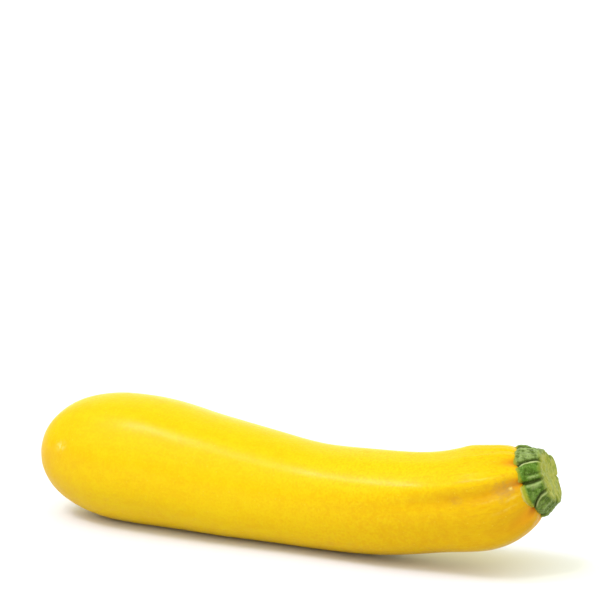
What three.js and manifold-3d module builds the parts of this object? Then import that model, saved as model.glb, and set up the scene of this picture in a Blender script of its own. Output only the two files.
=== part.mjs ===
// A yellow zucchini, picked with a short stub of its stem, lying on its belly.
// Millimetres. +Z is up and the ground is z = 0. +X runs from the blossom end to the stem.
// The fruit grew as one piece, so it is one solid. The stub is a second solid, seated on its shoulder.
import * as THREE from 'three';
import { mergeVertices } from 'three/addons/utils/BufferGeometryUtils.js';
import Module from 'manifold-3d';

// ---- driving dimensions ----

const FRUIT_LENGTH = 206.5; // blossom tip to the seat of the stem, along the fruit
const BLOSSOM_CAP = 38; // length of the rounded blossom end
const BLOSSOM_BLUNTNESS = 2.04; // 2 would be a quarter of an ellipse, and more is blunter
const SHOULDER = 20; // length over which the neck rounds in to the stem
const SEAT_RADIUS = 11; // the flat seat that the stem grows from
const BELLY_PRESS = 0.55; // how deep the belly is pressed flat where it lies

// How the fruit swells, bows and lifts. At each distance from the blossom tip: the radius of the flesh,
// how far its middle lies to the +Y side, and how far the belly has left the ground. The blossom end
// droops: its radius closes in to nothing there, so it does not reach the ground.
const STATIONS = [
  { along: 0, radius: 25.6, side: 0.5, lift: -1.9 },
  { along: 25, radius: 25.1, side: 1, lift: 0 },
  { along: 50, radius: 25.2, side: -1, lift: 0 },
  { along: 75, radius: 23.5, side: -3, lift: 0 },
  { along: 100, radius: 21.5, side: -3.9, lift: 0.1 },
  { along: 125, radius: 19.8, side: -4.9, lift: 0.45 },
  { along: 151, radius: 19.4, side: -6.7, lift: 1.9 },
  { along: 173, radius: 18.3, side: -7, lift: 5.75 },
  { along: 191, radius: 19.3, side: -6.5, lift: 8.75 },
  { along: FRUIT_LENGTH, radius: 18.7, side: -3.5, lift: 16.3 },
];

const NECK_RIDGES = 5; // blunt ridges that rise along the neck towards the stem
const NECK_RIDGE_HEIGHT = 0.4; // at the stem
const NECK_RIDGE_START = 110; // where they begin, from the blossom tip
const NECK_RIDGE_TURN = 62; // the angle of the first, in degrees from the top down the -Y side

const STEM_LENGTH = 7.5; // seat to cut face
const STEM_ROOT = 3; // how far the stub reaches below the seat before it is cut to fit the shoulder
const STEM_TOE_RADIUS = 13.6; // where the ribs spread over the shoulder
const STEM_WAIST_RADIUS = 11.1;
const STEM_CUT_RADIUS = 9.8; // at the cut face
const CUT_SLANT = 1.2; // how much longer the stub is where the slanting cut leaves it longest
const CUT_SLANT_ANGLE = 300; // and where that is, counted as the ribs are
const JOINT_GAP = 0.3; // between the stub and the fruit

// The stem's ribs, one after another from the top down the -Y side and round. For each: the angle in
// degrees of the furrow before it, how deep that furrow is, and how far the rib stands past the cut.
const RIBS = [
  { furrow: 34, depth: 1.5, proud: 0 },
  { furrow: 80, depth: 1.6, proud: 0 },
  { furrow: 111, depth: 1.6, proud: 0 },
  { furrow: 168, depth: 1.8, proud: 0.3 },
  { furrow: 249, depth: 2.2, proud: 0.9 },
  { furrow: 302, depth: 1.4, proud: 0.1 },
  { furrow: 326, depth: 0.9, proud: 0 },
  { furrow: 348, depth: 1.1, proud: 0.3 },
];

const FRUIT_RINGS = 56;
const FRUIT_SIDES = 48;
const STEM_SIDES = 120;

// ---- the fruit's middle line and its sections ----

const middleLine = new THREE.CatmullRomCurve3(
  STATIONS.map(({ along, radius, side, lift }) =>
    new THREE.Vector3(along, side, radius - BELLY_PRESS + lift)),
  false,
  'catmullrom',
);
const flesh = new THREE.CatmullRomCurve3(
  STATIONS.map(({ along, radius }) => new THREE.Vector3(along, radius, 0)),
  false,
  'catmullrom',
);

// The share of the full radius that is left near a rounded end of that length.
function roundOff(distanceFromEnd, length, bluntness) {
  const inwards = Math.max(0, 1 - distanceFromEnd / length);
  return (1 - inwards ** bluntness) ** (1 / bluntness);
}

// The fruit's radius at t, which runs from 0 at the blossom tip to 1 at the seat of the stem.
function fleshRadius(t) {
  const { x: along, y: full } = flesh.getPoint(t);
  if (along < FRUIT_LENGTH / 2) {
    return full * roundOff(along, BLOSSOM_CAP, BLOSSOM_BLUNTNESS);
  }
  return SEAT_RADIUS + (full - SEAT_RADIUS) * roundOff(FRUIT_LENGTH - along, SHOULDER, 2);
}

// A frame on the middle line at t: x along the fruit, y level and across it, z upwards and across it.
function frameAt(t) {
  const forwards = middleLine.getTangent(t);
  const sideways = new THREE.Vector3(0, 0, 1).cross(forwards).normalize();
  const upwards = forwards.clone().cross(sideways);
  return new THREE.Matrix4()
    .makeBasis(forwards, sideways, upwards)
    .setPosition(middleLine.getPoint(t));
}

// ---- meshes as closed skins and as solids ----

// Joins what meets, so that a lathe's seam and poles close, and drops triangles that close to nothing.
function closedSkin(lathed) {
  lathed.deleteAttribute('normal');
  lathed.deleteAttribute('uv');
  const skin = mergeVertices(lathed, 1e-6);
  const corners = Array.from(skin.getIndex().array);
  const kept = [];
  for (let i = 0; i < corners.length; i += 3) {
    const [a, b, c] = corners.slice(i, i + 3);
    if (a !== b && b !== c && c !== a) {
      kept.push(a, b, c);
    }
  }
  skin.setIndex(kept);
  return skin;
}

// Moves every point of a skin by a function of where it is.
function reshape(skin, move) {
  const position = skin.getAttribute('position');
  const point = new THREE.Vector3();
  for (let i = 0; i < position.count; i += 1) {
    point.fromBufferAttribute(position, i);
    move(point);
    position.setXYZ(i, point.x, point.y, point.z);
  }
  return skin;
}

const wasm = await Module();
wasm.setup();

function solidOf(skin) {
  return new wasm.Manifold(new wasm.Mesh({
    numProp: 3,
    vertProperties: new Float32Array(skin.getAttribute('position').array),
    triVerts: new Uint32Array(skin.getIndex().array),
  }));
}

function skinOf(solid) {
  const { vertProperties, triVerts } = solid.getMesh();
  const skin = new THREE.BufferGeometry();
  skin.setAttribute('position', new THREE.BufferAttribute(vertProperties, 3));
  skin.setIndex(new THREE.BufferAttribute(triVerts, 1));
  return skin;
}

// ---- the fruit ----

// How far the neck's blunt ridges stand out at t, at an angle round the fruit from the top down the -Y side.
function neckRidge(t, angle) {
  const { x: along } = flesh.getPoint(t);
  const rise = Math.max(0, along - NECK_RIDGE_START) / (FRUIT_LENGTH - NECK_RIDGE_START);
  const turn = THREE.MathUtils.degToRad(NECK_RIDGE_TURN);
  return NECK_RIDGE_HEIGHT * rise * Math.cos(NECK_RIDGES * (angle - turn));
}

// The fruit's skin, or with a clearance the same skin that much larger all round.
// A lathe turns about its Y axis, so y carries t until the skin is bent along the middle line.
function fruitSkin(clearance = 0) {
  const outline = [new THREE.Vector2(0, 0)];
  for (let ring = 1; ring <= FRUIT_RINGS; ring += 1) {
    const t = (1 - Math.cos((Math.PI * ring) / FRUIT_RINGS)) / 2;
    outline.push(new THREE.Vector2(fleshRadius(t) + clearance, t));
  }
  outline.push(new THREE.Vector2(0, 1));
  const skin = closedSkin(new THREE.LatheGeometry(outline, FRUIT_SIDES));
  return reshape(skin, (point) => {
    const { x: up, y: t, z: across } = point;
    const radius = Math.hypot(up, across);
    const swell = radius > 0 ? 1 + neckRidge(t, Math.atan2(-across, up)) / fleshRadius(1) : 1;
    const beyond = t === 1 ? clearance : 0;
    point.set(beyond, across * swell, up * swell).applyMatrix4(frameAt(t));
    point.z = Math.max(0, point.z);
  });
}

// ---- the stub of stem ----

// The rib found at an angle round the stem: the depth of the nearer of its two furrows, how far it
// stands past the cut, and its crown, which is 0 in a furrow and 1 on the ridge.
function ribAt(angle) {
  const turned = THREE.MathUtils.euclideanModulo(THREE.MathUtils.radToDeg(angle), 360);
  const next = RIBS.findIndex(({ furrow }) => furrow > turned);
  const after = next < 0 ? 0 : next;
  const before = (after + RIBS.length - 1) % RIBS.length;
  const width = THREE.MathUtils.euclideanModulo(RIBS[after].furrow - RIBS[before].furrow, 360);
  const share = THREE.MathUtils.euclideanModulo(turned - RIBS[before].furrow, 360) / width;
  return {
    depth: RIBS[share < 0.5 ? before : after].depth,
    proud: RIBS[before].proud,
    crown: Math.sin(Math.PI * share),
  };
}

// The ribs spread into toes over the shoulder, draw in to a waist and end at the cut.
function stemSkin() {
  const outline = [
    [0, -STEM_ROOT],
    [STEM_TOE_RADIUS - 1, -STEM_ROOT],
    [STEM_TOE_RADIUS, -STEM_ROOT / 3],
    [STEM_TOE_RADIUS - 0.2, 0.7],
    [STEM_TOE_RADIUS - 0.9, 1.8],
    [STEM_WAIST_RADIUS + 0.4, 3.2],
    [STEM_WAIST_RADIUS, 4.8],
    [STEM_CUT_RADIUS, STEM_LENGTH - 0.3],
    [STEM_CUT_RADIUS - 0.4, STEM_LENGTH],
    [0, STEM_LENGTH],
  ].map(([radius, height]) => new THREE.Vector2(radius, height));
  const skin = closedSkin(new THREE.LatheGeometry(outline, STEM_SIDES));
  const seat = frameAt(1);
  return reshape(skin, (point) => {
    const { x: up, y: height, z: across } = point;
    const radius = Math.hypot(up, across);
    const angle = Math.atan2(-across, up);
    const { depth, proud, crown } = ribAt(angle);
    const share = radius > 0 ? 1 - (depth * (1 - crown)) / radius : 1;
    const outwards = radius / STEM_CUT_RADIUS;
    const slant = CUT_SLANT * Math.cos(angle - THREE.MathUtils.degToRad(CUT_SLANT_ANGLE));
    const climb = (Math.max(0, height) / STEM_LENGTH) * outwards * (slant + proud * crown);
    point.set(height + climb, across * share, up * share).applyMatrix4(seat);
  });
}

// ---- the zucchini ----

const fruit = new THREE.Mesh(
  fruitSkin(),
  new THREE.MeshStandardMaterial({ color: 0xf9d20c, roughness: 0.38, metalness: 0 }),
);
fruit.name = 'fruit';

const stem = new THREE.Mesh(
  skinOf(solidOf(stemSkin()).subtract(solidOf(fruitSkin(JOINT_GAP)))),
  new THREE.MeshStandardMaterial({ color: 0x5c8a3a, roughness: 0.6, metalness: 0 }),
);
stem.name = 'stem';

const zucchini = new THREE.Group();
zucchini.add(fruit, stem);

// The origin is on the ground, under the middle of the whole.
const extent = new THREE.Box3().setFromObject(zucchini);
const middle = extent.getCenter(new THREE.Vector3());
zucchini.position.set(-middle.x, -middle.y, -extent.min.z);

export default zucchini;
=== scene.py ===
from math import cos, pi, radians, sin, tau

import bmesh
import bpy
import numpy as np
from mathutils import Matrix, Vector, noise


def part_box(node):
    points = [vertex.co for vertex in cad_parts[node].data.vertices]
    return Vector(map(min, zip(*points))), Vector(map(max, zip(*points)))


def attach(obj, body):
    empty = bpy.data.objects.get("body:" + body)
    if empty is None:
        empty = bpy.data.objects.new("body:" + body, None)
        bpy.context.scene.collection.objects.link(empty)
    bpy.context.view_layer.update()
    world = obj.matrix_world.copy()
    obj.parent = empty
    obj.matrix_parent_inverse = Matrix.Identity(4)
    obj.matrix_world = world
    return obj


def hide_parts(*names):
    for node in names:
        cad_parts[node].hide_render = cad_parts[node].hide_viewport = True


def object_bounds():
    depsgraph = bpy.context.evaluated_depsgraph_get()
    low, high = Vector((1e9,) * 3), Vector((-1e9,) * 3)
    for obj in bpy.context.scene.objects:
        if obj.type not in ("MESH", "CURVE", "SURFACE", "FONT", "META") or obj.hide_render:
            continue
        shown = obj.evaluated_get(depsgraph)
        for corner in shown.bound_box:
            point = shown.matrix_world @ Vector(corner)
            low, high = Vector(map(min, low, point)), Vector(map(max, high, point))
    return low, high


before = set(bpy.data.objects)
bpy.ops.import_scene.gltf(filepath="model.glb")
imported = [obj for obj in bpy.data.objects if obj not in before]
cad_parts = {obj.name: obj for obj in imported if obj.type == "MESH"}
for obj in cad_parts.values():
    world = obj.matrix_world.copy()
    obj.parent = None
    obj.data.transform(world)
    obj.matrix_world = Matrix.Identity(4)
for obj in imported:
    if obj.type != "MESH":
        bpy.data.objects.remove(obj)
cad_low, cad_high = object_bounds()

# ---- The fruit ----
# A yellow zucchini: firm flesh in a thin, waxy, golden skin, grown in one piece. It swells towards the
# blossom end, lies on its belly and lifts its neck, which is faintly ridged and grooved under the stem.
# The skin is a lathed outline, bent along the fruit's middle line and then given its ridges and hollows.

# Lengths are in millimetres until a point is put in its place, and angles are in degrees. Round the fruit
# an angle is counted from the top down the -Y side, and along it a distance from the blossom tip.
MM = 0.001
FRUIT_LENGTH = 206.5
BLOSSOM_CAP = 38  # length of the rounded blossom end
BLOSSOM_BLUNTNESS = 2.04
SHOULDER = 20  # length over which the neck rounds in to the stem
SEAT_RADIUS = 11  # the flat seat that the stem grows from
SEAT_RINGS = (0.8, 0.5, 0.2, 0)  # the rings that close the seat, as shares of its radius
BELLY_PRESS = 0.55  # how deep the belly is pressed flat where it lies
FRUIT_RINGS = 420
FRUIT_SIDES = 210
FINE_TIP = 0.012  # the share of the fruit's run, at the blossom tip, that has closer rings
TIP_RINGS = 40

# Along the fruit: the distance, the radius of the flesh, how far its middle lies to the +Y side, and how
# far the belly has left the ground.
STATIONS = np.array([
    (0, 25.6, 0.5, -1.9),
    (25, 25.1, 1, 0),
    (50, 25.2, -1, 0),
    (75, 23.5, -3, 0),
    (100, 21.5, -3.9, 0.1),
    (125, 19.8, -4.9, 0.45),
    (151, 19.4, -6.7, 1.9),
    (173, 18.3, -7, 5.75),
    (191, 19.3, -6.5, 8.75),
    (FRUIT_LENGTH, 18.7, -3.5, 16.3),
])

# The blunt ridges: their number, and along the fruit the angle of the first and the height of all.
RIDGES = 5
RIDGE_TURNS = np.array([(0, 30), (58, 39), (101, 49), (143, 57), (181, 62)])
RIDGE_HEIGHTS = np.array([(8, 0), (60, 0.35), (110, 0.45), (150, 0.65), (190, 1.0)])
RIDGE_AVERAGE = 0.375  # of a ridge's height, taken off all round so that the girth stays the same

# Low waves over the whole skin: swellings that come and go along the fruit, an oval that twists, and fine
# ridges. A length is that of the fruit over which a wave turns by a radian. Leans and starts are in radians.
SWELLING_HEIGHT = 0.16
SWELLING_LENGTH = 9.5
SWELLING_LEAN = 1.3
SWELLING_FADE_LENGTH = 23
SWELLING_FADE_START = 2
OVAL_HEIGHT = 0.10
OVAL_LENGTH = 31
FINE_RIDGE_HEIGHT = 0.05
FINE_RIDGE_START = 0.6

# Wrinkles under the stem. For each: its height, how many go round, its twist to the millimetre and its
# start in radians.
WRINKLES = [(0.09, 17, 0, 1), (0.08, 29, 1 / 14, 2), (0.06, 43, -1 / 9, 0)]
WRINKLE_REACH = 9

# The skin's grooves between the toes of the stem. For each: its angle, its width in degrees, its depth at
# the stem, and how far it runs out along the neck.
SHOULDER_GROOVES = [
    (38, 10, 1.2, 7),
    (74, 8, 1.5, 12),
    (126, 12, 1.3, 10),
    (146, 8, 0.2, 7),
    (167, 9, 0.8, 9),
    (206, 10, 0.7, 8),
    (250, 12, 1.1, 11),
    (292, 10, 0.8, 8),
    (320, 8, 0.5, 7),
    (350, 8, 0.5, 7),
]
GROOVE_STAIN = 0.6  # how far a groove's darker colour runs out, as a share of the groove

# The crease along the neck. For its hollow and its lip: how far each stands out, and its middle and its
# width in degrees below the crease's angle.
CREASE_ANGLE = 62
CREASE_START = 152
CREASE_FULL = 182  # where it is at its deepest
CREASE_END = 4  # how far short of the stem it starts to run out
CREASE_RELIEF = [(-0.95, 13, 10), (0.25, -2, 5)]

# The scar that the flower left. For its dish, rim and nub: how far each sinks in, and the radius and the
# width of its ring.
SCAR_RADIUS = 3.8
SCAR_EDGE = 0.9  # how softly its colour ends
SCAR_RING = 2.3  # the radius of the dark ring in it
SCAR_RING_WIDTH = 0.6
SCAR_RELIEF = [(0.7, 0, 6.5), (-0.5, 4.2, 0.7), (-0.9, 0, 1.5)]
SMOOTH_TIP = 8  # the radius within which the ridges and waves die out at both ends

# Marks on the skin: distance along, angle, half-length, half-width in degrees, and strength.
SCUFFS = [
    (200.4, 77, 3.8, 12, 1.05),
    (186.0, 77, 3.0, 8, 0.5),
    (120, 214, 5, 6, 0.6),
    (62, 292, 4, 5, 0.5),
    (151, 318, 6, 3, 0.5),
]
PALE_MARKS = [
    (19.0, 71, 2.4, 4, 0.8),
    (202.4, 77, 0.6, 2.2, 1.0),
    (202.0, 90, 2.5, 1.5, 0.35),
    (199.0, 100, 3.5, 1.2, 0.25),
    (196.0, 84, 3.0, 1.0, 0.25),
]

# How much amber the skin is given under the neck, below the crease, low on the shoulder and low on the
# blossom: partly a riper tone, and partly painted shade on the faces turned down, away from the light.
RIPE_AND_SHADED_NECK = 0.50
RIPE_AND_SHADED_CREASE = 0.55
RIPE_AND_SHADED_SHOULDER = 0.75
RIPE_AND_SHADED_BLOSSOM = 0.5


def along_fruit(t):
    """A smooth run through the stations, as rows of distance, radius, side and lift, for t from 0 to 1."""
    stations = np.vstack([2 * STATIONS[0] - STATIONS[1], STATIONS, 2 * STATIONS[-1] - STATIONS[-2]])
    place = np.clip(t, 0, 1) * (len(STATIONS) - 1)
    first = np.minimum(place.astype(int), len(STATIONS) - 2)
    w = (place - first)[:, None]
    a, b, c, d = (stations[first + step] for step in range(4))
    curve = 2 * b + (c - a) * w + (2 * a - 5 * b + 4 * c - d) * w**2 + (3 * b - a - 3 * c + d) * w**3
    return curve / 2


def round_off(from_end, length, bluntness):
    """The share of the full radius that is left near a rounded end of that length."""
    inwards = np.clip(1 - from_end / length, 0, 1)
    return (1 - inwards**bluntness) ** (1 / bluntness)


def flesh_radius(t):
    """The fruit's radius at t, rounded in at the blossom and at the shoulder under the stem."""
    distance, full, _, _ = along_fruit(t).T
    blossom_half = full * round_off(np.maximum(distance, 0), BLOSSOM_CAP, BLOSSOM_BLUNTNESS)
    shoulder = round_off(FRUIT_LENGTH - distance, SHOULDER, 2)
    stem_half = SEAT_RADIUS + (full - SEAT_RADIUS) * shoulder
    return np.where(distance < FRUIT_LENGTH / 2, blossom_half, stem_half)


def middle_line(t):
    """The middle of the fruit at t."""
    distance, radius, side, lift = along_fruit(t).T
    return np.stack([distance, side, radius - BELLY_PRESS + lift], axis=1)


def grown_place(t, up, across, beyond=0):
    """Where a point of the straight lathed shape grows to: t along the middle line, up and across it."""
    step = 1e-4
    forwards = middle_line(np.minimum(t + step, 1)) - middle_line(np.maximum(t - step, 0))
    forwards /= np.linalg.norm(forwards, axis=1)[:, None]
    sideways = np.cross([0, 0, 1], forwards)
    sideways /= np.linalg.norm(sideways, axis=1)[:, None]
    upwards = np.cross(forwards, sideways)
    offset = sideways * across[:, None] + upwards * up[:, None] + forwards * np.reshape(beyond, (-1, 1))
    return middle_line(t) + offset


def degrees_apart(angle, other):
    """The turn between two angles in degrees, from -180 to 180."""
    return (angle - other + 180) % 360 - 180


def hump(value, middle, width):
    """A smooth hump: 1 at the middle, and almost nothing two widths away."""
    return np.exp(-(((value - middle) / width) ** 2))


def rising(value, start, full):
    """A straight rise from 0 at the start to 1 where it is full, which may lie on either side."""
    return np.clip((value - start) / (full - start), 0, 1)


def lathed(outline, sides):
    """Spins an outline of (place on the X axis, radius) once round X into a closed skin."""
    skin = bmesh.new()
    line = [skin.verts.new((x, 0, radius)) for x, radius in outline]
    edges = [skin.edges.new(pair) for pair in zip(line, line[1:])]
    bmesh.ops.spin(skin, geom=line + edges, axis=(1, 0, 0), cent=(0, 0, 0), dvec=(0, 0, 0),
                   angle=tau, steps=sides, use_merge=True)
    bmesh.ops.remove_doubles(skin, verts=skin.verts, dist=1e-7)
    bmesh.ops.recalc_face_normals(skin, faces=skin.faces)
    return skin


def smooth_piece(name, skin):
    """Turns a finished skin into a smooth-shaded object, and gives its points as an array."""
    mesh = bpy.data.meshes.new(name)
    skin.to_mesh(mesh)
    skin.free()
    mesh.shade_smooth()
    piece = bpy.data.objects.new(name, mesh)
    bpy.context.collection.objects.link(piece)
    points = np.empty(len(mesh.vertices) * 3, dtype=np.float32)
    mesh.vertices.foreach_get("co", points)
    return piece, points.reshape(-1, 3).astype(float)


def move_points(piece, points):
    """Puts every point of a piece in its place."""
    piece.data.vertices.foreach_set("co", points.astype(np.float32).ravel())
    piece.data.update()


def keep_values(piece, name, values):
    """Keeps one number, or one vector, for each point of a piece, for its material to read."""
    values = np.asarray(values, dtype=np.float32)
    if values.ndim == 1:
        piece.data.attributes.new(name, "FLOAT", "POINT").data.foreach_set("value", values)
    else:
        piece.data.attributes.new(name, "FLOAT_VECTOR", "POINT").data.foreach_set("vector", values.ravel())


# The rings lie closer towards both ends, and closest at the blossom tip, where the scar is.
even = np.linspace(0, 1, FRUIT_RINGS + 1)
ring_places = (even + (1 - np.cos(pi * even)) / 2) / 2
tip_places = FINE_TIP * np.linspace(0, 1, TIP_RINGS + 1) ** 2
ring_places = np.concatenate([tip_places, ring_places[ring_places > FINE_TIP]])
ring_radii = flesh_radius(ring_places) * MM
ring_radii[0] = 0
outline = list(zip(ring_places, ring_radii)) + [(1, SEAT_RADIUS * MM * share) for share in SEAT_RINGS]
fruit, straight = smooth_piece("zucchini_fruit", lathed(outline, FRUIT_SIDES))

t = np.clip(straight[:, 0], 0, 1)
radius = np.hypot(straight[:, 1], straight[:, 2]) / MM
angle = np.degrees(np.arctan2(-straight[:, 1], straight[:, 2])) % 360
distance = along_fruit(t)[:, 0]
from_stem = FRUIT_LENGTH - distance
round_place = np.radians(angle)

# Blunt ridges that turn a little on their way from the blossom and stand out most on the neck, low waves
# all along, grooves that run in between the toes of the stem, and fine wrinkles under it.
ridge_turn = np.radians(np.interp(distance, *RIDGE_TURNS.T))
ridge = (0.5 + 0.5 * np.cos(RIDGES * (round_place - ridge_turn))) ** 2
swell = np.interp(distance, *RIDGE_HEIGHTS.T) * (ridge - RIDGE_AVERAGE)
swelling = SWELLING_HEIGHT * np.sin(distance / SWELLING_LENGTH + SWELLING_LEAN * np.sin(round_place))
swell += swelling * np.sin(distance / SWELLING_FADE_LENGTH + SWELLING_FADE_START)
swell += OVAL_HEIGHT * np.cos(2 * round_place + distance / OVAL_LENGTH)
swell += FINE_RIDGE_HEIGHT * np.cos(2 * RIDGES * round_place + FINE_RIDGE_START)
groove = np.zeros(len(t))
for at, width, depth, reach in SHOULDER_GROOVES:
    across_groove = hump(degrees_apart(angle, at), 0, width)
    swell -= depth * across_groove * np.exp(-np.maximum(from_stem, 0) / reach)
    stain = np.exp(-np.maximum(from_stem, 0) / (GROOVE_STAIN * reach))
    groove = np.maximum(groove, min(1, depth) * across_groove * stain)
for height, count, twist, start in WRINKLES:
    wrinkle = height * np.sin(count * round_place + twist * distance + start)
    swell += wrinkle * np.exp(-np.maximum(from_stem, 0) / WRINKLE_REACH)

# Along the crease the skin steps down below a ridge, and it runs out before the waist.
crease_fade = rising(distance, CREASE_START, CREASE_FULL) * rising(from_stem, 0, CREASE_END)
below_crease = degrees_apart(angle, CREASE_ANGLE)
for stands, middle, width in CREASE_RELIEF:
    swell += stands * crease_fade * hump(below_crease, middle, width)

# The scar is a shallow dish with a raised rim and a nub, all pushed along the fruit.
swell *= np.clip(radius / SMOOTH_TIP, 0, 1)
dish = sum(depth * hump(radius, ring, width) for depth, ring, width in SCAR_RELIEF)
at_blossom = distance < BLOSSOM_CAP
scar = np.where(at_blossom, hump(np.maximum(radius, SCAR_RADIUS), SCAR_RADIUS, SCAR_EDGE), 0)

grown = np.maximum(radius + np.where(radius > 0, swell, 0), 0)
up = grown * np.cos(round_place)
across = -grown * np.sin(round_place)
points = grown_place(t, up, across, np.where(at_blossom, dish, 0))
points[:, 2] = np.maximum(points[:, 2], 0)

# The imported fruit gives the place: its lowest X is the blossom tip, and its sides give the middle in Y.
fruit_low, fruit_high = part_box("fruit")
middle_y = (fruit_low.y + fruit_high.y) / 2 / MM
fruit_place = np.array([fruit_low.x / MM, middle_y - (points[:, 1].min() + points[:, 1].max()) / 2, 0])
move_points(fruit, (points + fruit_place) * MM)

# "unbent" is each point's place on the fruit before it was bent, for patterns that follow the growth.
keep_values(fruit, "unbent", np.stack([distance, across, up], axis=1) * MM)
keep_values(fruit, "groove", np.clip(groove, 0, 1))
keep_values(fruit, "scar", scar)
keep_values(fruit, "scar_ring", scar * hump(radius, SCAR_RING, SCAR_RING_WIDTH))
for name, marks in (("scuff", SCUFFS), ("pale_mark", PALE_MARKS)):
    marked = np.zeros(len(t))
    for at, turned, half_length, half_width, strength in marks:
        mark = hump(distance, at, half_length) * hump(degrees_apart(angle, turned), 0, half_width)
        marked = np.maximum(marked, strength * mark)
    keep_values(fruit, name, marked)

# The skin is painted amber on the neck's lower side, most of all just below the crease, and low at both
# ends: partly a riper tone, and partly painted shade on the faces turned down, away from the light.
under_neck = rising(distance, 105, 175) * rising(below_crease, -2, 16) * rising(below_crease, 200, 140)
facet = rising(distance, 163, 185) * hump(below_crease, 12, 8)
low_shoulder = hump(distance, 203, 7) * hump(degrees_apart(angle, 128), 0, 26)
low_blossom = hump(distance, 0, 26) * rising(degrees_apart(angle, 90), -40, -10)
ripeness_and_shade = RIPE_AND_SHADED_NECK * under_neck + RIPE_AND_SHADED_CREASE * facet
ripeness_and_shade += RIPE_AND_SHADED_SHOULDER * low_shoulder + RIPE_AND_SHADED_BLOSSOM * low_blossom
keep_values(fruit, "ripe_and_shade", np.clip(ripeness_and_shade, 0, 1))


def add(tree, kind, inputs=None, **settings):
    """Adds one shader node with its settings, and fills inputs with values or with other nodes' outputs."""
    node = tree.nodes.new(kind)
    for name, value in settings.items():
        setattr(node, name, value)
    for name, value in (inputs or {}).items():
        if isinstance(value, bpy.types.NodeSocket):
            tree.links.new(value, node.inputs[name])
        else:
            node.inputs[name].default_value = value
    return node


def sums(tree, operation, first, second):
    """One step of arithmetic on two values."""
    return add(tree, "ShaderNodeMath", {0: first, 1: second}, operation=operation).outputs[0]


def ranged(tree, value, low, high, to_low=0.0, to_high=1.0):
    """Takes a value from one range to another, smoothly and without passing its ends."""
    inputs = {"Value": value, "From Min": low, "From Max": high, "To Min": to_low, "To Max": to_high}
    return add(tree, "ShaderNodeMapRange", inputs, interpolation_type="SMOOTHSTEP").outputs[0]


def painted(tree, under, over, mask, strength=1.0):
    """Paints one colour over another where the mask is 1, and gives the mixed colour."""
    if strength < 1:
        mask = sums(tree, "MULTIPLY", mask, strength)
    mix = tree.nodes.new("ShaderNodeMix")
    mix.data_type = "RGBA"
    for slot_number, value in ((0, mask), (6, under), (7, over)):
        if isinstance(value, bpy.types.NodeSocket):
            tree.links.new(value, mix.inputs[slot_number])
        else:
            mix.inputs[slot_number].default_value = value
    return mix.outputs[2]


def kept(tree, name, output="Fac"):
    """Reads a number, or a vector, that was kept for each point of a piece."""
    return add(tree, "ShaderNodeAttribute", attribute_name=name).outputs[output]


def clouds(tree, place, per_metre, detail):
    """Soft uneven clouds, by how many there are to the metre."""
    inputs = {"Vector": place, "Scale": per_metre, "Detail": detail}
    return add(tree, "ShaderNodeTexNoise", inputs).outputs[0]


def new_material(name):
    """A material with nodes, as its node tree and its shader."""
    material = bpy.data.materials.new(name)
    material.use_nodes = True
    return material, material.node_tree, material.node_tree.nodes["Principled BSDF"]


def new_group(name, inputs, outputs):
    """An empty node group with named number, vector or colour sockets."""
    group = bpy.data.node_groups.new(name, "ShaderNodeTree")
    for side, sockets in (("INPUT", inputs), ("OUTPUT", outputs)):
        for socket, kind in sockets:
            group.interface.new_socket(socket, in_out=side, socket_type="NodeSocket" + kind)
    return group, group.nodes.new("NodeGroupInput").outputs, group.nodes.new("NodeGroupOutput").inputs


# Small round flecks, scattered unevenly: each is a cell's middle, and only some cells have one.
flecks, given, gives = new_group(
    "flecks", [("Place", "Vector"), ("Per Metre", "Float"), ("Size", "Float"), ("Share", "Float")],
    [("Mask", "Float")])
cells = add(flecks, "ShaderNodeTexVoronoi", {"Vector": given["Place"], "Scale": given["Per Metre"]})
cell_number = add(flecks, "ShaderNodeSeparateColor", {"Color": cells.outputs["Color"]}).outputs[0]
chosen = sums(flecks, "LESS_THAN", cell_number, given["Share"])
dot = ranged(flecks, cells.outputs["Distance"], given["Size"], sums(flecks, "MULTIPLY", given["Size"], 0.4))
flecks.links.new(sums(flecks, "MULTIPLY", dot, chosen), gives["Mask"])

# Fine streaks that follow the growth: noise drawn out along X.
streaks, given, gives = new_group(
    "growth_streaks", [("Place", "Vector"), ("Per Metre", "Float"), ("Drawn Out", "Float")],
    [("Height", "Float")])
drawn = add(streaks, "ShaderNodeCombineXYZ", {
    "X": sums(streaks, "DIVIDE", 1.0, given["Drawn Out"]), "Y": 1.0, "Z": 1.0})
stretched = add(streaks, "ShaderNodeVectorMath", {0: given["Place"], 1: drawn.outputs[0]},
                operation="MULTIPLY")
run = add(streaks, "ShaderNodeTexNoise", {
    "Vector": stretched.outputs[0], "Scale": given["Per Metre"], "Detail": 3.0, "Roughness": 0.55})
streaks.links.new(run.outputs[0], gives["Height"])


def grouped(tree, group, **inputs):
    """Places a shared group in a material, with its own values."""
    node = tree.nodes.new("ShaderNodeGroup")
    node.node_tree = group
    for name, value in inputs.items():
        name = name.replace("_", " ").title()
        if isinstance(value, bpy.types.NodeSocket):
            tree.links.new(value, node.inputs[name])
        else:
            node.inputs[name].default_value = value
    return node.outputs[0]


GOLDEN = (0.655, 0.435, 0.0008, 1)
DEEP_GOLD = (0.635, 0.385, 0.0006, 1)
LEMON = (0.665, 0.470, 0.002, 1)
ORANGE = (0.600, 0.270, 0.003, 1)
GROOVE_BROWN = (0.36, 0.105, 0.005, 1)
PALE_FLECK = (0.70, 0.53, 0.05, 1)
SCUFF_BEIGE = (0.43, 0.235, 0.03, 1)
PALE_MARK = (0.72, 0.58, 0.14, 1)
AMBER = (0.52, 0.255, 0.0008, 1)
CORK = (0.17, 0.092, 0.026, 1)
DRY_CORK = (0.37, 0.24, 0.085, 1)

skin_material, tree, shader = new_material("waxy_yellow_skin")
unbent = kept(tree, "unbent", "Vector")
along = add(tree, "ShaderNodeSeparateXYZ", {"Vector": unbent}).outputs["X"]
grooved = kept(tree, "groove")
scarred = kept(tree, "scar")

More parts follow.
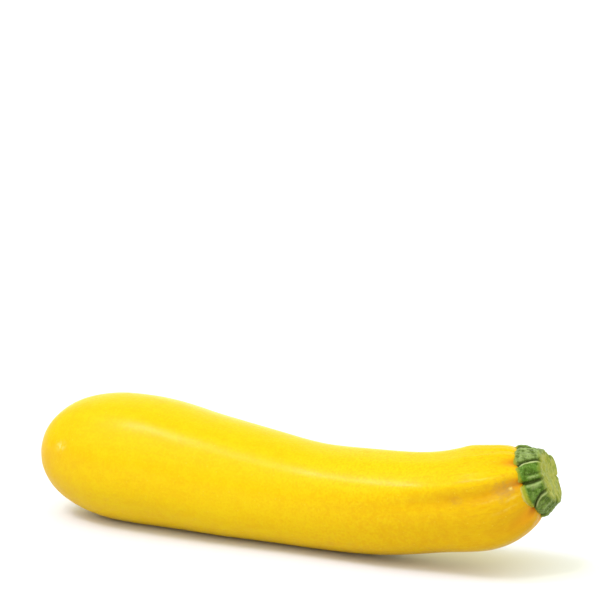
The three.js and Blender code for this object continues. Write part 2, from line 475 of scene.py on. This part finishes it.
# The flesh shows through the skin in faint clouds, the growth in faint streaks, and pores as pale flecks.
cloud = clouds(tree, unbent, 38.0, 2.0)
wide_streaks = grouped(tree, streaks, place=unbent, per_metre=300.0, drawn_out=14.0)
fine_streaks = grouped(tree, streaks, place=unbent, per_metre=1300.0, drawn_out=7.0)
mottle = clouds(tree, unbent, 260.0, 4.0)
grain = clouds(tree, unbent, 1100.0, 3.0)
pale_dots = grouped(tree, flecks, place=unbent, per_metre=480.0, size=0.15, share=0.4)
fine_dots = grouped(tree, flecks, place=unbent, per_metre=1000.0, size=0.22, share=0.35)

colour = painted(tree, GOLDEN, DEEP_GOLD, ranged(tree, cloud, 0.42, 0.68), 0.45)
colour = painted(tree, colour, LEMON, ranged(tree, wide_streaks, 0.42, 0.7), 0.5)
colour = painted(tree, colour, DEEP_GOLD, ranged(tree, fine_streaks, 0.5, 0.75), 0.4)
colour = painted(tree, colour, LEMON, ranged(tree, mottle, 0.52, 0.66), 0.5)
colour = painted(tree, colour, DEEP_GOLD, ranged(tree, mottle, 0.48, 0.36), 0.4)

# The grain is coarser on the neck, and the skin deepens towards the stem and the blossom.
coarser = ranged(tree, along, 0.10, 0.15, 0.5, 1.0)
dark_grain = sums(tree, "MULTIPLY", ranged(tree, grain, 0.48, 0.38), coarser)
pale_grain = sums(tree, "MULTIPLY", ranged(tree, grain, 0.52, 0.62), coarser)
colour = painted(tree, colour, DEEP_GOLD, dark_grain)
colour = painted(tree, colour, LEMON, pale_grain)
near_stem = ranged(tree, along, 0.165, 0.208)
colour = painted(tree, colour, DEEP_GOLD, near_stem, 0.45)
grown_streaks = sums(tree, "MULTIPLY", ranged(tree, fine_streaks, 0.52, 0.66), near_stem)
colour = painted(tree, colour, AMBER, grown_streaks, 0.45)
# Amber: partly a riper tone, partly painted shade on the faces turned down, broken up by the mottle.
ripe_and_shade = sums(tree, "MULTIPLY", kept(tree, "ripe_and_shade"), ranged(tree, mottle, 0.25, 0.6, 1.0, 0.7))
colour = painted(tree, colour, AMBER, ripe_and_shade)
near_blossom = ranged(tree, along, 0.012, 0.0)
colour = painted(tree, colour, DEEP_GOLD, near_blossom, 0.5)
strong_dots = sums(tree, "MULTIPLY", pale_dots, 0.45)
weak_dots = sums(tree, "MULTIPLY", fine_dots, 0.2)
colour = painted(tree, colour, PALE_FLECK, sums(tree, "MAXIMUM", strong_dots, weak_dots))
colour = painted(tree, colour, ORANGE, ranged(tree, grooved, 0.03, 0.6))
colour = painted(tree, colour, GROOVE_BROWN, ranged(tree, grooved, 0.45, 1.0))

# Scuffs, pale marks and the scar all have ragged edges.
ragged = clouds(tree, unbent, 700.0, 5.0)
scuff_edge = sums(tree, "ADD", kept(tree, "scuff"), sums(tree, "MULTIPLY", ragged, 1.2))
scuff_mask = ranged(tree, scuff_edge, 0.75, 1.6)
scuff_grain = ranged(tree, fine_streaks, 0.35, 0.6, 1.0, 0.5)
colour = painted(tree, colour, SCUFF_BEIGE, sums(tree, "MULTIPLY", scuff_mask, scuff_grain))
pale_mask = sums(tree, "MULTIPLY", kept(tree, "pale_mark"), ranged(tree, ragged, 0.35, 0.6))
colour = painted(tree, colour, PALE_MARK, pale_mask)
cork = painted(tree, CORK, DRY_CORK, ranged(tree, grain, 0.35, 0.62, 0.45, 1.0))
cork = painted(tree, cork, CORK, kept(tree, "scar_ring"), 0.9)
scar_edge = sums(tree, "ADD", scarred, sums(tree, "MULTIPLY", ragged, 0.9))
colour = painted(tree, colour, cork, ranged(tree, scar_edge, 0.8, 1.15))
tree.links.new(colour, shader.inputs["Base Color"])

scuff_dullness = sums(tree, "MULTIPLY", scuff_mask, 0.25)
scar_dullness = sums(tree, "MULTIPLY", scarred, 0.45)
dullness = sums(tree, "MAXIMUM", scuff_dullness, scar_dullness)
sheen = ranged(tree, fine_streaks, 0.3, 0.7, 0.27, 0.38)
tree.links.new(sums(tree, "ADD", sheen, dullness), shader.inputs["Roughness"])

relief = sums(tree, "ADD", sums(tree, "MULTIPLY", fine_streaks, 0.6), grain)
relief = sums(tree, "SUBTRACT", relief, sums(tree, "MULTIPLY", pale_dots, 0.4))
rough_marks = sums(tree, "MAXIMUM", scuff_mask, scarred)
roughness = sums(tree, "MULTIPLY", rough_marks, sums(tree, "MULTIPLY", ragged, 2.0))
relief = sums(tree, "ADD", relief, roughness)
skin_bump = add(tree, "ShaderNodeBump", {"Height": relief, "Strength": 0.8, "Distance": 0.2 * MM})
tree.links.new(skin_bump.outputs[0], shader.inputs["Normal"])
shader.inputs["Specular IOR Level"].default_value = 0.01
shader.inputs["Coat Weight"].default_value = 0.16
shader.inputs["Coat Roughness"].default_value = 0.20
shader.inputs["Subsurface Weight"].default_value = 0.06
shader.inputs["Subsurface Radius"].default_value = (1.0, 0.5, 0.05)
shader.inputs["Subsurface Scale"].default_value = 2 * MM
fruit.data.materials.append(skin_material)

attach(fruit, "root")
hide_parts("fruit")

# ---- The stem ----
# The stub left on the fruit where it was cut from the plant: tough green fibre with eight uneven ribs.
# The ribs spread into pale toes that grip the shoulder, and the cut face has dried to a light olive.

STEM_LENGTH = 7.5
STEM_CUT_RADIUS = 9.8
CUT_SLANT = 1.2  # how much longer the stub is where the slanting cut leaves it longest
CUT_SLANT_ANGLE = 300
STEM_SIDES = 400
STEPS_BETWEEN = 10  # rings from one place of the stem's outline to the next
FACE_RINGS = 33
FACE_RISE = 0.001  # from each ring of the cut face to the next, so that it stands above the side

# The stem's hidden root, and then its side: radius of the ribs and height above the seat.
ROOT_RADII = (0, 5, 9)  # of the rings that close it below
STEM_OUTLINE = np.array([
    (12.4, -3.0), (13.3, -1.4), (13.6, 0.0), (13.4, 1.0), (12.9, 2.0), (12.2, 3.0), (11.5, 4.0),
    (10.9, 5.1), (10.5, 6.0), (10.25, 6.7), (9.85, 7.2), (9.3, 7.45), (8.8, 7.5),
])

# The ribs from the top down the -Y side. For each: the angle of the furrow before it at the cut and at the
# toes, how deep that furrow is at the cut and at the toes, how far the rib stands out at the toes, at the
# middle and at the cut, how far it stands past the cut, and how plain the thread along its edge is.
RIBS = np.array([
    (38, 46, 1.0, 1.7, -0.1, 0.3, 0.1, 0.0, 1.0),
    (81, 78, 1.2, 2.2, 0.9, 0.6, 0.1, 0.0, 0.5),
    (108, 126, 1.1, 1.3, -1.3, 0.9, 0.3, 0.0, 0.6),
    (169, 166, 1.3, 1.7, 0.4, 0.4, 0.9, 0.3, 0.3),
    (249, 250, 0.9, 1.7, 0.5, 0.4, 0.5, 0.5, 0.2),
    (306, 290, 1.3, 1.5, 0.4, 0.0, -0.4, 0.1, 0.2),
    (328, 320, 0.8, 1.2, 0.4, 0.0, -0.4, 0.0, 0.2),
    (347, 350, 1.4, 1.0, -0.8, 0.1, 0.2, 0.3, 0.3),
])
TOES_REACH = 5  # how high up the stem the toes reach
TOES_CURVE = 1.5  # how late below that height they spread
RIBS_FADE = 9  # the radius inside which ribs and furrows die out towards the middle
FURROW_WIDTH = 0.6

# The pale thread of a ridge beside a furrow: how far it lies from the furrow's bottom, how wide and how high
# it is, and the height up the stem from which it is full.
THREAD_PLACE = 0.85
THREAD_WIDTH = 0.45
THREAD_HEIGHT = 0.3
THREAD_FULL = 1.5

# The widest furrow opens out: its angle, its width in degrees, its depth, and the height up the stem from
# which it is open.
WIDE_FURROW = 247
WIDE_FURROW_WIDTH = 24
WIDE_FURROW_DEPTH = 2.5
WIDE_FURROW_FULL = 3

# Small ridges and clefts between the furrows: the angle, half the width in degrees, the height up the
# stem, half the length, and how far each stands out. A ridge is painted pale as a highlight, and a cleft
# is painted dark as shade.
RIB_MARKS = [
    (66.5, 2.2, 4.4, 2.8, -0.5),
    (72.0, 3.0, 4.6, 2.2, 0.5),
    (89.0, 4.0, 4.6, 2.0, 0.4),
    (25.0, 3.0, 3.6, 2.6, 0.4),
    (16.0, 2.5, 3.8, 2.4, -0.3),
    (119.0, 7.0, 0.0, 2.5, -0.8),
    (129.0, 2.5, 4.4, 2.6, -0.4),
    (137.0, 3.5, 4.8, 2.6, 0.4),
    (150.0, 2.5, 4.6, 2.2, -0.3),
    (188.0, 3.0, 4.0, 2.6, 0.4),
    (206.0, 4.0, 1.5, 3.4, -0.9),
    (226.0, 3.0, 4.0, 2.6, 0.4),
    (268.0, 3.0, 4.0, 2.6, 0.4),
    (280.0, 3.0, 4.0, 2.6, -0.4),
    (292.0, 8.0, 7.0, 3.0, 0.5),
    (314.0, 7.0, 6.5, 4.5, -3.0),
]
PLAIN_MARK = 0.45  # how far a mark stands out where its colour is full

# Uneven growth: the size of the lumps, and how high they stand on the side and on the cut face.
BIG_LUMP = 2.6
BIG_ON_SIDE = 0.40
BIG_ON_FACE = 0.45
SMALL_LUMP = 0.9
SMALL_ON_SIDE = 0.16
SMALL_ON_FACE = 0.12
ELSEWHERE = 40  # takes the small lumps from another part of the same noise

# The cut face. For the ring and the pith that have sunk in: the depth, the radius and the width.
FACE_RADIUS = 9.2
FACE_EDGE = 9.45  # where its colour begins
FACE_SOFTNESS = 0.4  # over how much of the radius that colour grows full
FACE_RIM = 0.3  # how far below the cut that colour can reach
FACE_RING = (0.35, 6.0, 1.4)
FACE_PITH = (0.5, 0, 2.2)


def rib_values(turned, height):
    """At each angle and height: the way across its rib, the distance from its furrow, and its sizes."""
    toe_share = np.clip(1 - height / TOES_REACH, 0, 1) ** TOES_CURVE
    starts = RIBS[:, 0] + (RIBS[:, 1] - RIBS[:, 0]) * toe_share[:, None]
    past = (turned[:, None] - starts) % 360
    before = np.argmin(past, axis=1)
    after = (before + 1) % len(RIBS)
    rows = np.arange(len(turned))
    width = (starts[rows, after] - starts[rows, before]) % 360
    share = past[rows, before] / width
    nearer = np.where(share < 0.5, before, after)
    depth = RIBS[nearer, 2] + (RIBS[nearer, 3] - RIBS[nearer, 2]) * toe_share
    up_stem = np.clip(height / STEM_LENGTH, 0, 1)
    at_toe, at_middle, at_cut = RIBS[before, 4], RIBS[before, 5], RIBS[before, 6]
    stand = at_toe * (1 - up_stem) ** 2 + 2 * at_middle * up_stem * (1 - up_stem) + at_cut * up_stem**2
    from_furrow = np.radians(width * np.minimum(share, 1 - share)) * STEM_CUT_RADIUS
    return before, share, from_furrow, depth, stand, RIBS[before, 7], RIBS[before, 8]


def lumps(points, size):
    """Uneven growth at each point, from about -1 to 1, with swellings of about the given size."""
    return np.array([noise.fractal(Vector(point) / size, 1.0, 2.0, 2) for point in points])


# The outline of the side is softened, and then closed below by the root and above by the cut face.
places = np.arange(len(STEM_OUTLINE))
steps = np.linspace(0, places[-1], STEPS_BETWEEN * places[-1] + 1)
side_radii = np.interp(steps, places, STEM_OUTLINE[:, 0])
side_heights = np.interp(steps, places, STEM_OUTLINE[:, 1])
soften = np.array([1, 2, 3, 4, 3, 2, 1]) / 16
reach = len(soften) // 2
side_radii[reach:-reach] = np.convolve(side_radii, soften, mode="valid")
side_heights[reach:-reach] = np.convolve(side_heights, soften, mode="valid")
face_radii = np.linspace(STEM_OUTLINE[-1, 0], 0, FACE_RINGS + 1)[1:]
outline = [(STEM_OUTLINE[0, 1] * MM, radius * MM) for radius in ROOT_RADII]
outline += list(zip(side_heights * MM, side_radii * MM))
outline += [((STEM_LENGTH + FACE_RISE * ring) * MM, radius * MM) for ring, radius in enumerate(face_radii)]
stem, straight = smooth_piece("zucchini_stem", lathed(outline, STEM_SIDES))

height = straight[:, 0] / MM
radius = np.hypot(straight[:, 1], straight[:, 2]) / MM
turned = np.degrees(np.arctan2(-straight[:, 1], straight[:, 2])) % 360
round_place = np.radians(turned)
rib, share, from_furrow, depth, stand, proud, thread = rib_values(turned, height)
crown = (1 - hump(from_furrow, 0, FURROW_WIDTH)) * (0.7 + 0.3 * np.sin(pi * share))
on_face = rising(height, STEM_LENGTH - FACE_RISE, STEM_LENGTH)
big_lumps = lumps(straight / MM, BIG_LUMP)
small_lumps = lumps(straight / MM + ELSEWHERE, SMALL_LUMP)
change = stand * crown**0.7 - depth * (1 - crown)
change += BIG_ON_SIDE * big_lumps + SMALL_ON_SIDE * small_lumps * (0.4 + crown)

# The widest furrow opens out, a pale thread of a ridge follows each furrow, and the marks stand out.
opened = hump(degrees_apart(turned, WIDE_FURROW), 0, WIDE_FURROW_WIDTH)
change -= WIDE_FURROW_DEPTH * opened * rising(height, 0, WIDE_FURROW_FULL)
thread *= hump(from_furrow, THREAD_PLACE, THREAD_WIDTH) * (share < 0.5) * rising(height, 0, THREAD_FULL)
marked = np.zeros(len(height))
for at, half_width, middle, half_length, stands in RIB_MARKS:
    along_mark = np.exp(-(((height - middle) / half_length) ** 4))
    marked += stands * hump(degrees_apart(turned, at), 0, half_width) * along_mark
change += THREAD_HEIGHT * thread + marked
outer = rising(radius, 0, RIBS_FADE) ** 2
new_radius = np.maximum(radius + change * outer, 0)

# The cut is slanting, some ribs stand past it, and it dries unevenly, most of all in a ring and a pith.
slant = CUT_SLANT * np.cos(np.radians(turned - CUT_SLANT_ANGLE))
climb = np.clip(height, 0, None) / STEM_LENGTH * (radius / STEM_CUT_RADIUS) * (slant + proud * crown)
face_relief = BIG_ON_FACE * big_lumps + SMALL_ON_FACE * small_lumps
face_relief -= FACE_RING[0] * hump(radius, *FACE_RING[1:]) * (0.6 + 0.4 * np.cos(pi * share))
face_relief -= FACE_PITH[0] * hump(radius, *FACE_PITH[1:])
new_height = height + climb + on_face * face_relief

seat = np.ones(len(height))
up = new_radius * np.cos(round_place)
across = -new_radius * np.sin(round_place)
points = grown_place(seat, up, across, new_height)
move_points(stem, (points + fruit_place) * MM)

# For each rib: how much pale bloom and painted sheen it has, how pale its toe is, and how fresh its green
# is.
RIB_LOOKS = np.array([
    (0.10, 0.6, 1.0), (0.25, 0.9, 1.0), (0.20, 0.1, 0.40), (0.4, 0.3, 0.3),
    (0.6, 0.4, 0.4), (0.4, 0.4, 0.5), (0.4, 0.3, 0.5), (0.75, 0.2, 0.35),
])
face = rising(radius, FACE_EDGE, FACE_EDGE - FACE_SOFTNESS)
keep_values(stem, "unbent", np.stack([new_height, across, up], axis=1) * MM)
keep_values(stem, "rib_looks", RIB_LOOKS[rib])
keep_values(stem, "crown", crown)
keep_values(stem, "thread", thread)
# How strongly each small ridge gets its painted highlight, and each cleft its painted shade.
keep_values(stem, "ridges", np.clip(marked / PLAIN_MARK, 0, 1))
keep_values(stem, "clefts", np.clip(-marked / PLAIN_MARK, 0, 1))
keep_values(stem, "rise", height / STEM_LENGTH)
keep_values(stem, "face", np.where(height >= STEM_LENGTH - FACE_RIM, face, 0))
keep_values(stem, "spoke", radius / FACE_RADIUS)

# Dark green: the stem's own dark patches and speckle, and painted shade in the furrows and clefts.
DARK_GREEN_AND_FURROW_SHADE = (0.040, 0.060, 0.008, 1)
DULL_GREEN = (0.115, 0.165, 0.025, 1)
FRESH_GREEN = (0.062, 0.150, 0.003, 1)
PALE_BLOOM_AND_SHEEN = (0.285, 0.365, 0.12, 1)
PALE_THREAD_AND_HIGHLIGHT = (0.42, 0.48, 0.19, 1)
TOE_YELLOW = (0.28, 0.295, 0.018, 1)
TOE_CREAM = (0.48, 0.40, 0.085, 1)
CUT_OLIVE = (0.230, 0.270, 0.030, 1)
CUT_STRAW = (0.350, 0.350, 0.062, 1)
FIBRE_GREEN = (0.17, 0.21, 0.028, 1)

stem_material, tree, shader = new_material("ribbed_green_stem")
unbent = kept(tree, "unbent", "Vector")
crowned = kept(tree, "crown")
rise = kept(tree, "rise")
spoke = kept(tree, "spoke")
looks = add(tree, "ShaderNodeSeparateXYZ", {"Vector": kept(tree, "rib_looks", "Vector")}).outputs
mottle = clouds(tree, unbent, 480.0, 4.0)
speckle = clouds(tree, unbent, 1500.0, 2.0)
fibres = grouped(tree, streaks, place=unbent, per_metre=1900.0, drawn_out=4.0)

# Green ribs over furrows and clefts that are painted dark as shade, with pale bloom and a painted sheen
# on their crowns, and pale threads that are partly a painted highlight.
body_green = painted(tree, DULL_GREEN, FRESH_GREEN, looks["Z"])
# Painted shade: the furrows turn dark green where the crown falls away into them.
colour = painted(tree, DARK_GREEN_AND_FURROW_SHADE, body_green, ranged(tree, crowned, 0.12, 0.75))
dark_patch = sums(tree, "MULTIPLY", ranged(tree, mottle, 0.54, 0.36), 0.55)
# Painted shade: the clefts are dark. The dark patches are the stem's own uneven green.
dark_cleft = sums(tree, "MULTIPLY", kept(tree, "clefts"), 0.7)
colour = painted(tree, colour, DARK_GREEN_AND_FURROW_SHADE, sums(tree, "MAXIMUM", dark_patch, dark_cleft))
# Pale on the crowns: partly the stem's waxy bloom, and partly a painted sheen where the crowns catch the
# light.
bloom_and_sheen = sums(tree, "MULTIPLY", ranged(tree, crowned, 0.35, 0.95), ranged(tree, mottle, 0.36, 0.6))
bloom_and_sheen = sums(tree, "MULTIPLY", bloom_and_sheen, looks["X"])
# Painted highlight: the small ridges are pale.
bloom_and_sheen = sums(tree, "MAXIMUM", bloom_and_sheen, sums(tree, "MULTIPLY", kept(tree, "ridges"), 0.7))
colour = painted(tree, colour, PALE_BLOOM_AND_SHEEN, bloom_and_sheen)
colour = painted(tree, colour, PALE_BLOOM_AND_SHEEN, ranged(tree, speckle, 0.55, 0.70), 0.3)
colour = painted(tree, colour, DARK_GREEN_AND_FURROW_SHADE, ranged(tree, speckle, 0.46, 0.32), 0.5)
# The thread along each rib's upper edge is pale, partly as a painted highlight that the edge catches.
colour = painted(tree, colour, PALE_THREAD_AND_HIGHLIGHT, ranged(tree, kept(tree, "thread"), 0.1, 0.9), 0.9)

# The toes pale to yellow and then cream, each to its own height.
toe_height = sums(tree, "SUBTRACT", rise, sums(tree, "MULTIPLY", looks["Y"], 0.16))
toe_height = sums(tree, "ADD", toe_height, sums(tree, "MULTIPLY", mottle, 0.10))
toe_crown = ranged(tree, crowned, 0.1, 0.5)
toe_mask = sums(tree, "MULTIPLY", ranged(tree, toe_height, 0.06, -0.15), toe_crown)
colour = painted(tree, colour, TOE_YELLOW, toe_mask)
toe_edge = sums(tree, "MULTIPLY", ranged(tree, toe_height, -0.17, -0.28), toe_crown)
colour = painted(tree, colour, TOE_CREAM, toe_edge, 0.9)

# The cut face is olive and straw with greener fibres, which end as dots near its edge.
top_edge = ranged(tree, sums(tree, "ADD", rise, sums(tree, "MULTIPLY", mottle, 0.3)), 0.98, 1.22)
colour = painted(tree, colour, CUT_OLIVE, top_edge, 0.75)
cut = painted(tree, CUT_OLIVE, CUT_STRAW, ranged(tree, mottle, 0.36, 0.62))
cut = painted(tree, cut, FIBRE_GREEN, ranged(tree, spoke, 0.8, 1.05), 0.6)
cut = painted(tree, cut, FIBRE_GREEN, ranged(tree, speckle, 0.5, 0.7), 0.4)
cut_dots = grouped(tree, flecks, place=unbent, per_metre=600.0, size=0.3, share=0.5)
ring_of_dots = sums(tree, "MULTIPLY", cut_dots, ranged(tree, spoke, 0.4, 0.6))
cut = painted(tree, cut, FIBRE_GREEN, ring_of_dots, 0.45)
colour = painted(tree, colour, cut, kept(tree, "face"))
tree.links.new(colour, shader.inputs["Base Color"])

tree.links.new(ranged(tree, mottle, 0.3, 0.7, 0.34, 0.52), shader.inputs["Roughness"])
relief = sums(tree, "ADD", fibres, sums(tree, "MULTIPLY", mottle, 1.2))
relief = sums(tree, "ADD", relief, sums(tree, "MULTIPLY", speckle, 0.5))
stem_bump = add(tree, "ShaderNodeBump", {"Height": relief, "Strength": 0.8, "Distance": 0.3 * MM})
tree.links.new(stem_bump.outputs[0], shader.inputs["Normal"])
shader.inputs["Specular IOR Level"].default_value = 0.08
shader.inputs["Subsurface Weight"].default_value = 0.06
shader.inputs["Subsurface Radius"].default_value = (0.4, 1.0, 0.2)
shader.inputs["Subsurface Scale"].default_value = 1 * MM
stem.data.materials.append(stem_material)

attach(stem, "root")
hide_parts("stem")

# ---- The ground ----
# A plain, matt, white ground under the zucchini. It is one flat sheet, far larger than the view so that no
# edge of it shows, and it lies a little low so that it does not touch the belly.

GROUND_REACH = 40  # metres from its middle to each edge
GROUND_DROP = 0.1 * MM
GROUND_WHITE = (0.75, 0.75, 0.75, 1)

ground_skin = bmesh.new()
bmesh.ops.create_grid(ground_skin, x_segments=1, y_segments=1, size=GROUND_REACH,
                      matrix=Matrix.Translation((0, 0, -GROUND_DROP)))
ground_mesh = bpy.data.meshes.new("ground")
ground_skin.to_mesh(ground_mesh)
ground_skin.free()
ground = bpy.data.objects.new("ground", ground_mesh)
bpy.context.collection.objects.link(ground)
white, tree, shader = new_material("white_ground")
shader.inputs["Base Color"].default_value = GROUND_WHITE
shader.inputs["Roughness"].default_value = 0.9
shader.inputs["Specular IOR Level"].default_value = 0.0
ground_mesh.materials.append(white)

# ---- The light ----
# A white studio: a bright backdrop behind, a dim warm one in front, wide soft boxes high on the left and
# right, a smaller box that shows as a sheen, a weak glow all round, and one lamp that edges the shadow.

KEY_AZIMUTH = radians(-17)
KEY_ELEVATION = radians(60)
KEY_STRENGTH = 0.55
KEY_WIDTH = radians(10)

# Each wide light: the direction it comes from, how closely it gathers round it, and its colour.
GLOW = (0.68, 0.53, 0.23)
WIDE_LIGHTS = [
    ((0, 1, 0), 2.0, (1.62, 2.20, 2.05)),
    ((0, -1, 0), 2.0, (0.32, 0.23, 0.11)),
    ((-0.5, -0.5, 0.7071), 4.0, (0.97, 1.19, 1.58)),
    ((-0.43, -0.30, 0.85), 60.0, (3.0, 3.3, 5.0)),
    ((-0.43, -0.32, 0.84), 300.0, (12.0, 12.8, 24.0)),
    ((0.5, -0.5, 0.7071), 4.0, (1.16, 1.45, 1.90)),
]


def towards(azimuth, elevation):
    """The direction at an azimuth, counted from -Y towards +X, and an elevation above the ground."""
    return Vector((sin(azimuth) * cos(elevation), -cos(azimuth) * cos(elevation), sin(elevation)))


key = bpy.data.lights.new("key", "SUN")
key.energy = KEY_STRENGTH
key.angle = KEY_WIDTH
key_lamp = bpy.data.objects.new("key", key)
key_lamp.rotation_mode = "QUATERNION"
key_lamp.rotation_quaternion = towards(KEY_AZIMUTH, KEY_ELEVATION).to_track_quat("Z", "Y")
bpy.context.collection.objects.link(key_lamp)

studio = bpy.data.worlds.new("studio")
studio.use_nodes = True
tree = studio.node_tree
direction = add(tree, "ShaderNodeTexCoord").outputs["Generated"]
light = GLOW
for source, gathering, colour in WIDE_LIGHTS:
    facing = add(tree, "ShaderNodeVectorMath", {0: direction, 1: Vector(source).normalized()},
                 operation="DOT_PRODUCT").outputs["Value"]
    lobe = sums(tree, "POWER", sums(tree, "MAXIMUM", facing, 0.0), gathering)
    coloured = add(tree, "ShaderNodeVectorMath", {"Vector": colour, "Scale": lobe}, operation="SCALE")
    light = add(tree, "ShaderNodeVectorMath", {0: light, 1: coloured.outputs[0]}, operation="ADD").outputs[0]
tree.links.new(light, tree.nodes["Background"].inputs["Color"])
bpy.context.scene.world = studio
bpy.context.scene.view_settings.view_transform = "Standard"

# ---- The camera ----
# It stands towards the stem end, a little above the zucchini, which lies low in the picture.

CAMERA_AZIMUTH = radians(26)
CAMERA_ELEVATION = radians(15)
CAMERA_DISTANCE = 0.8
CAMERA_LENS = 124.7
SUBJECT_SHIFT = Vector((-0.00565, 0.00061, -0.00476))  # the subject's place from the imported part's middle
AIM_RIGHT = 0.0097  # how far to the right of the subject the camera looks
AIM_ABOVE = 0.0714  # and how far above it

subject = (cad_low + cad_high) / 2 + SUBJECT_SHIFT
back = towards(CAMERA_AZIMUTH, CAMERA_ELEVATION)
rightwards = Vector((cos(CAMERA_AZIMUTH), sin(CAMERA_AZIMUTH), 0))
upwards = back.cross(rightwards)
lens = bpy.data.cameras.new("camera")
lens.lens = CAMERA_LENS
camera = bpy.data.objects.new("camera", lens)
camera.location = subject + back * CAMERA_DISTANCE
aim = subject + rightwards * AIM_RIGHT + upwards * AIM_ABOVE
camera.rotation_mode = "QUATERNION"
camera.rotation_quaternion = (aim - camera.location).to_track_quat("-Z", "Y")
bpy.context.collection.objects.link(camera)
bpy.context.scene.camera = camera
